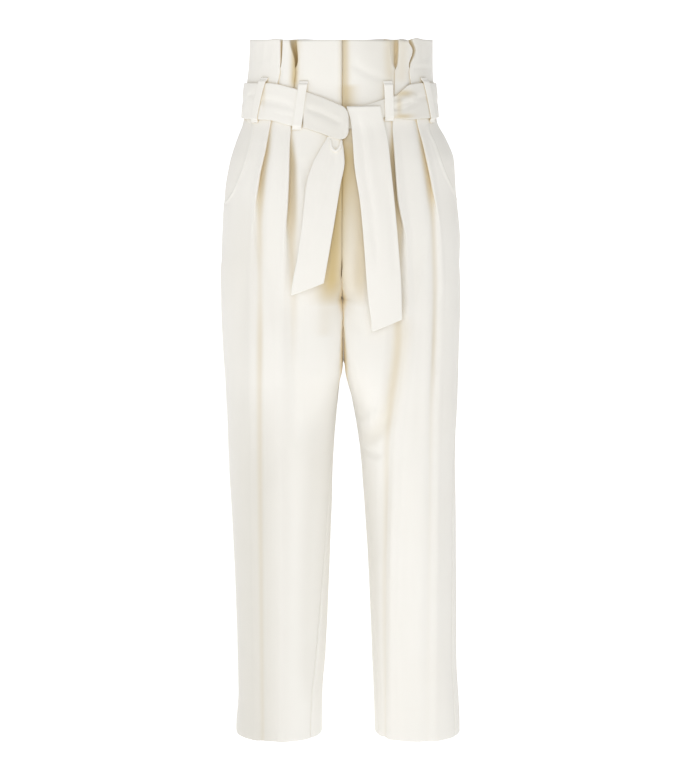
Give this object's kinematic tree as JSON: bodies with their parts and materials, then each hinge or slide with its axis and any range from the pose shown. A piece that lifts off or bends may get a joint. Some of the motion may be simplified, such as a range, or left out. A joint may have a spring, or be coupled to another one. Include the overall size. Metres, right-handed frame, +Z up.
{
  "type": "paperbag waist trousers",
  "caption": "High-rise tapered trousers with pleated fronts, a paperbag top above a self-fabric belt tied in a half knot, belt loops and slant pockets, filled out as worn.",
  "frame": {"origin": "the middle of the waist at the belt's mid-height, where the wearer holds the trousers up", "axes": "+Z up along the body, -Y towards the front, +X towards the wearer's left"},
  "size_m": [0.3624, 0.2493, 1.0482],
  "materials": {
    "cloth": "smooth ivory crepe twill, soft sheen",
    "belt": "the same ivory cloth, doubled and pressed",
    "facing": "the same ivory cloth, single",
    "zip_tape": "matte woven tape"
  },
  "bodies": {
    "root": {"front_right": "cloth", "front_left": "cloth", "back_right": "cloth", "back_left": "cloth", "pocket_facing_right": "facing", "pocket_facing_left": "facing", "fly_shield": "facing", "fly_zip": "zip_tape", "belt_round": "belt", "belt_cross": "belt", "belt_under": "belt", "belt_knot": "belt", "belt_end_right": "belt", "belt_end_left": "belt", "belt_loop_right_side": "belt", "belt_loop_right_front": "belt", "belt_loop_left_front": "belt", "belt_loop_left_side": "belt", "belt_loop_left_back": "belt", "belt_loop_right_back": "belt"}
  },
  "joints": []
}
